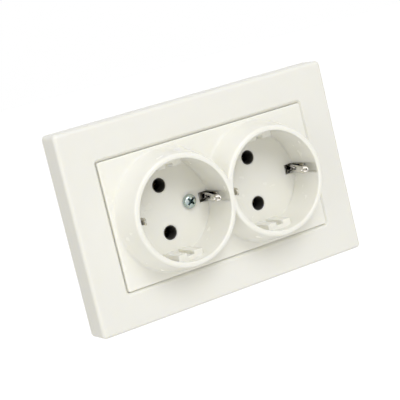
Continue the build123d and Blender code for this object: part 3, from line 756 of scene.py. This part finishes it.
@dataclass
class EarthContact:
    """The earth bracket of one well: a strap with a sprung, spoon-ended arm at both ends."""

    side: Side
    well_x: float = 20.665 * MM
    thickness: float = 0.6 * MM
    arm_width: float = 3.0 * MM
    backstop_width: float = 3.5 * MM
    strap_width: float = 8.0 * MM
    strap_back: float = 1.8 * MM
    strap_reach: float = 18.7 * MM
    strap_bevel: float = 0.08 * MM
    ring_radius: float = 5.6 * MM
    claw_screw_hole: float = 3.5 * MM
    cover_screw_hole: float = 1.65 * MM
    heel: float = 3.0 * MM
    root: float = 18.3 * MM
    root_bend: float = 0.7 * MM
    knee_height: float = 0.5 * MM
    knee_bend: float = 6.0 * MM
    apex: float = 15.0 * MM
    apex_height: float = 13.3 * MM
    apex_bend: float = 2.2 * MM
    tip: float = 17.0 * MM
    tip_height: float = 15.3 * MM
    backstop: float = 19.995 * MM
    backstop_height: float = 8.0 * MM
    backstop_nose: float = 0.4 * MM
    nose_share: float = 0.96
    rim_start: float = 0.82
    rim_width: float = 0.18
    rim_floor: float = 0.04
    crown: float = 0.5 * MM
    crown_rise: float = 3.0 * MM
    crown_power: float = 1.6
    bead: float = 0.7 * MM
    bead_half_width: float = 0.4 * MM
    bead_start: float = 0.45 * MM
    bead_run_in: float = 0.3 * MM
    bead_end: float = 3.2 * MM
    bead_run_out: float = 0.8 * MM
    step: float = 0.2 * MM
    across: int = 20

    def arm_path(self) -> list[tuple[float, float]]:
        """Give the arm's middle line as (distance from the well's axis, depth), from strap to nose."""
        middle = self.strap_back + self.thickness / 2
        corners = [
            (self.root - self.heel, middle, 0.0),
            (self.root, middle, self.root_bend),
            (self.root, WELL_FLOOR + self.knee_height, self.knee_bend),
            (self.apex, WELL_FLOOR + self.apex_height, self.apex_bend),
            (self.tip, WELL_FLOOR + self.tip_height, 0.0),
        ]
        return self.rounded(corners)

    def backstop_path(self) -> list[tuple[float, float]]:
        """Give the backstop's middle line, as the arm's."""
        middle = self.strap_back + self.thickness / 2
        corners = [
            (self.backstop - self.heel, middle, 0.0),
            (self.backstop, middle, self.root_bend),
            (self.backstop, WELL_FLOOR + self.backstop_height, 0.0),
        ]
        return self.rounded(corners)

    def rounded(self, corners: list[tuple[float, float, float]]) -> list[tuple[float, float]]:
        """Round a line's corners.

        Args:
            corners: Each corner as (distance, depth, bend radius).

        Returns:
            The line in even, short steps.
        """
        points = []
        for i, (x, d, radius) in enumerate(corners):
            here = Vector((x, d))
            if not radius:
                points.append(here)
                continue
            back = (Vector(corners[i - 1][:2]) - here).normalized()
            ahead = (Vector(corners[i + 1][:2]) - here).normalized()
            half = back.angle(ahead) / 2
            reach = radius * cos(half) / sin(half)
            centre = here + (back + ahead).normalized() * radius / sin(half)
            start, end = here + back * reach, here + ahead * reach
            for step in range(11):
                share = step / 10
                spoke = (start - centre).lerp(end - centre, share).normalized()
                points.append(centre + spoke * radius)
        return [(p.x, p.y) for p in self.evenly(points)]

    def evenly(self, points: list[Vector]) -> list[Vector]:
        """Resample a line to even, short steps."""
        lengths = [0.0]
        for low, high in zip(points, points[1:]):
            lengths.append(lengths[-1] + (high - low).length)
        count = int(lengths[-1] / self.step)
        made, at = [], 0
        for k in range(count + 1):
            wanted = lengths[-1] * k / count
            while at < len(points) - 2 and lengths[at + 1] < wanted:
                at += 1
            span = lengths[at + 1] - lengths[at]
            made.append(points[at].lerp(points[at + 1], (wanted - lengths[at]) / span))
        return made

    def strip(
        self,
        mesh: bmesh.types.BMesh,
        line: list[tuple[float, float]],
        direction: int,
        full: float,
        crown: float,
        nose: float,
        bead: float = 0.0,
    ) -> None:
        """Add one strip: arched across its width, with a rounded end.

        Args:
            mesh: The mesh that takes it.
            line: Its middle line.
            direction: -1 for a strip towards -X, 1 for the other.
            full: Its width.
            crown: How far it is arched in the well.
            nose: Length over which its end is rounded.
            bead: Depth of the bead pressed along its nose.
        """
        length = self.step * (len(line) - 1)
        rows = []
        for k, (x, depth) in enumerate(line):
            before, after = line[max(0, k - 1)], line[min(len(line) - 1, k + 1)]
            tangent = Vector((after[0] - before[0], after[1] - before[1])).normalized()
            normal = Vector((-tangent.y, tangent.x))
            left = length - self.step * k
            rounding = sqrt(max(0.0, 1 - max(0.0, 1 - left / nose) ** 2))
            width = full / 2 * (1 - self.nose_share * (1 - rounding))
            rise = crown * min(1.0, max(0.0, (depth - WELL_FLOOR) / self.crown_rise))
            run_in = max(0.0, (left - self.bead_start) / self.bead_run_in)
            run_out = max(0.0, (self.bead_end - left) / self.bead_run_out)
            pressed = bead * min(1.0, run_in, run_out)
            top, under = [], []
            for j in range(self.across + 1):
                share = 2 * j / self.across - 1
                arch = -rise * abs(share * 2 * width / full) ** self.crown_power
                arch -= pressed * exp(-((share * width / self.bead_half_width) ** 2))
                rim = max(0.0, (abs(share) - self.rim_start) / self.rim_width)
                soft = self.thickness / 2 * min(1.0, sqrt(max(0.0, 1 - rim**2) + self.rim_floor))
                for row, lift in ((top, soft), (under, -soft)):
                    off = normal * (lift + arch)
                    place = (self.side.value * self.well_x + direction * (x + off.x), -(depth + off.y), share * width)
                    row.append(Vector(place))
            rows.append(top + list(reversed(under)))
        skin(mesh, rows, True, True)

    def strap(self) -> bpy.types.Object:
        """Make the flat strap with its ring, its holes and rolled edges."""
        centre = self.side.value * self.well_x
        ring_x = self.side.value * CLAW_SCREW_X
        curve = bpy.data.curves.new("strap_outline", "CURVE")
        curve.dimensions = "2D"
        curve.fill_mode = "BOTH"
        curve.extrude = self.thickness / 2 - self.strap_bevel
        curve.bevel_depth = self.strap_bevel
        curve.bevel_resolution = 2
        half = self.strap_width / 2
        reach = self.strap_reach
        bulge = []
        for i in range(-10, 11):
            angle = pi / 2 + i * pi / 2 / 10 * 0.5
            bulge.append((ring_x + self.ring_radius * cos(angle), self.ring_radius * sin(angle)))
        bulge = [(x, z) for x, z in bulge if z > half and abs(x - centre) < reach]
        top = [(centre + reach, half), *sorted(bulge, reverse=True), (centre - reach, half)]
        outline = top + [(x, -z) for x, z in reversed(top)]
        holes = [(ring_x, 0.0, self.claw_screw_hole)]
        holes += [(self.side.value * x, z, RIVET_RADIUS) for x, z in (RIVET_INNER, RIVET_OUTER)]
        if self.side is Side.LEFT:
            holes.append((COVER_SCREW_X, 0.0, self.cover_screw_hole))
        loops = [outline]
        for x, z, radius in holes:
            loops.append([(x + radius * cos(tau * i / 32), z + radius * sin(tau * i / 32)) for i in range(32)])
        for loop in loops:
            spline = curve.splines.new("POLY")
            spline.points.add(len(loop) - 1)
            spline.use_cyclic_u = True
            for point, (x, z) in zip(spline.points, loop):
                point.co = (x, z, 0, 1)
        made = bpy.data.objects.new("strap_outline", curve)
        bpy.context.scene.collection.objects.link(made)
        return made

    def build(self, finishes: Finishes) -> list[bpy.types.Object]:
        """Make the bracket and put it in its well."""
        name = self.side.name.lower()
        outline = self.strap()
        mesh = bmesh.new()
        mesh.from_mesh(applied(outline))
        bpy.data.objects.remove(outline)
        depth = self.strap_back + self.thickness / 2
        upright = Matrix.Translation(Vector((0, -depth, 0))) @ Matrix.Rotation(radians(90), 4, "X")
        bmesh.ops.transform(mesh, matrix=upright, verts=mesh.verts)
        for direction in (-1, 1):
            self.strip(mesh, self.arm_path(), direction, self.arm_width, self.crown, self.arm_width / 2, self.bead)
            self.strip(mesh, self.backstop_path(), direction, self.backstop_width, 0.0, self.backstop_nose)
        piece = finished(mesh, f"earth_bracket_{name}_detailed", 40)
        finishes.dress([piece], finishes.spring_metal)
        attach(piece, "socket")
        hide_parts(f"earth_bracket_{name}")
        return [piece]


# Carried-over parts


@dataclass
class Mouldings:
    """The plastic parts and the stamped parts whose CAD shape is shown as it is."""

    white_frame: tuple[str, ...] = ("outer_frame",)
    white_cover: tuple[str, ...] = ("front_cover",)
    dark: tuple[str, ...] = ("contact_retainer", "base_housing", "rear_cover")
    zinc: tuple[str, ...] = ("support_plate", "cover_nut")
    brass: tuple[str, ...] = ("live_contact", "neutral_contact", "earth_bar")

    def build(self, finishes: Finishes) -> list[bpy.types.Object]:
        """Dress the nodes."""
        pairs = (
            (self.white_frame, finishes.frame_white),
            (self.white_cover, finishes.cover_white),
            (self.dark, finishes.dark_moulding),
            (self.zinc, finishes.zinc_plate),
            (self.brass, finishes.contact_brass),
        )
        dressed = []
        for names, finish in pairs:
            nodes = [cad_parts[name] for name in names]
            finishes.dress(nodes, finish)
            dressed += nodes
        return dressed


# Stage, light and camera


@dataclass
class Studio:
    """A pale floor, a white surround, soft light from above and the camera."""

    floor_z: float = -0.3
    floor_half: float = 6.0
    floor_colour: Colour = (0.93, 0.93, 0.92)
    floor_roughness: float = 0.9
    floor_glow: float = 0.6
    ambient: float = 0.545
    ambient_colour: Colour = (1.0, 0.988, 0.955)
    key_place: Point = (-0.1, -1.4, 1.18)
    key_size: float = 0.9
    key_power: float = 15.0
    key_colour: Colour = (0.972, 0.99, 1.065)
    fill_place: Point = (-1.65, -0.7, 0.18)
    fill_size: float = 1.2
    fill_power: float = 5.6
    fill_colour: Colour = (1.0, 1.0, 1.0)
    camera_place: Point = (-0.2614, -0.48875, 0.0808)
    camera_right: Point = (0.8421, -0.4866, -0.2326)
    camera_up: Point = (0.2751, 0.0165, 0.9613)
    camera_back: Point = (-0.4639, -0.8735, 0.1477)
    lens: float = 127.13

    def surround(self) -> None:
        """Set a world that lights at a plain level and looks white."""
        world = bpy.data.worlds.new("surround")
        bpy.context.scene.world = world
        world.use_nodes = True
        tree = world.node_tree
        shade = tree.nodes["Background"]
        tint = tree.nodes.new("ShaderNodeMix")
        tint.data_type = "RGBA"
        tint.inputs["A"].default_value = (*self.ambient_colour, 1)
        tint.inputs["B"].default_value = (1, 1, 1, 1)
        tree.links.new(tint.outputs["Result"], shade.inputs["Color"])
        paths = tree.nodes.new("ShaderNodeLightPath")
        seen = paths.outputs["Is Camera Ray"]
        for kind in ("Is Glossy Ray", "Is Transmission Ray"):
            either = tree.nodes.new("ShaderNodeMath")
            either.operation = "MAXIMUM"
            tree.links.new(seen, either.inputs[0])
            tree.links.new(paths.outputs[kind], either.inputs[1])
            seen = either.outputs["Value"]
        level = tree.nodes.new("ShaderNodeMapRange")
        level.inputs["To Min"].default_value = self.ambient
        level.inputs["To Max"].default_value = 1.0
        tree.links.new(seen, level.inputs["Value"])
        tree.links.new(seen, tint.inputs["Factor"])
        tree.links.new(level.outputs["Result"], shade.inputs["Strength"])

    def floor(self) -> bpy.types.Object:
        """Make the floor, which looks white to the camera and keeps a soft shadow."""
        mesh = bmesh.new()
        half = self.floor_half
        corners = ((-half, -half), (half, -half), (half, half), (-half, half))
        mesh.faces.new([mesh.verts.new((x, y, self.floor_z)) for x, y in corners])
        made = finished(mesh, "floor")
        material = bpy.data.materials.new("floor_paper")
        material.use_nodes = True
        tree = material.node_tree
        shader = tree.nodes["Principled BSDF"]
        shader.inputs["Base Color"].default_value = (*self.floor_colour, 1)
        shader.inputs["Roughness"].default_value = self.floor_roughness
        shader.inputs["Emission Color"].default_value = (1, 1, 1, 1)
        paths = tree.nodes.new("ShaderNodeLightPath")
        glow = tree.nodes.new("ShaderNodeMath")
        glow.operation = "MULTIPLY"
        glow.inputs[1].default_value = self.floor_glow
        tree.links.new(paths.outputs["Is Camera Ray"], glow.inputs[0])
        tree.links.new(glow.outputs["Value"], shader.inputs["Emission Strength"])
        made.data.materials.append(material)
        return made

    def lamp(self, name: str, place: Point, size: float, power: float, colour: Colour) -> None:
        """Add a square lamp that faces the socket.

        Args:
            name: The lamp's name.
            place: Where it stands.
            size: Its side.
            power: Its power in watts.
            colour: Its colour.
        """
        data = bpy.data.lights.new(name, "AREA")
        data.shape = "SQUARE"
        data.size = size
        data.energy = power
        data.color = colour
        made = bpy.data.objects.new(name, data)
        made.matrix_world = facing(Vector(place), Vector(place).normalized())
        bpy.context.scene.collection.objects.link(made)

    def camera(self) -> None:
        """Set the camera at the photograph's view."""
        data = bpy.data.cameras.new("camera")
        data.sensor_width = 36
        data.sensor_fit = "HORIZONTAL"
        data.lens = self.lens
        data.clip_start = 0.01
        made = bpy.data.objects.new("camera", data)
        columns = (self.camera_right, self.camera_up, self.camera_back, self.camera_place)
        made.matrix_world = Matrix([[column[row] for column in columns] for row in range(3)]).to_4x4()
        bpy.context.scene.collection.objects.link(made)
        bpy.context.scene.camera = made

    def build(self) -> None:
        """Set up the stage."""
        bpy.context.scene.view_settings.view_transform = "Standard"
        bpy.context.scene.cycles.caustics_reflective = False
        bpy.context.scene.cycles.caustics_refractive = False
        self.surround()
        self.floor()
        self.lamp("key_light", self.key_place, self.key_size, self.key_power, self.key_colour)
        self.lamp("fill_light", self.fill_place, self.fill_size, self.fill_power, self.fill_colour)
        self.camera()


def main() -> None:
    """Build the socket's looks in order."""
    logging.basicConfig(level=logging.INFO, format="%(message)s")
    finishes = Finishes()
    Studio().build()
    parts = [
        Mouldings(),
        EarthContact(Side.LEFT),
        EarthContact(Side.RIGHT),
        CoverFixing(),
        Terminals(),
        Claws(),
        Fastenings(),
    ]
    for part in parts:
        for piece in part.build(finishes):
            log.info("%s: %d faces", piece.name, len(piece.data.polygons))


if __name__ == "__main__":
    main()
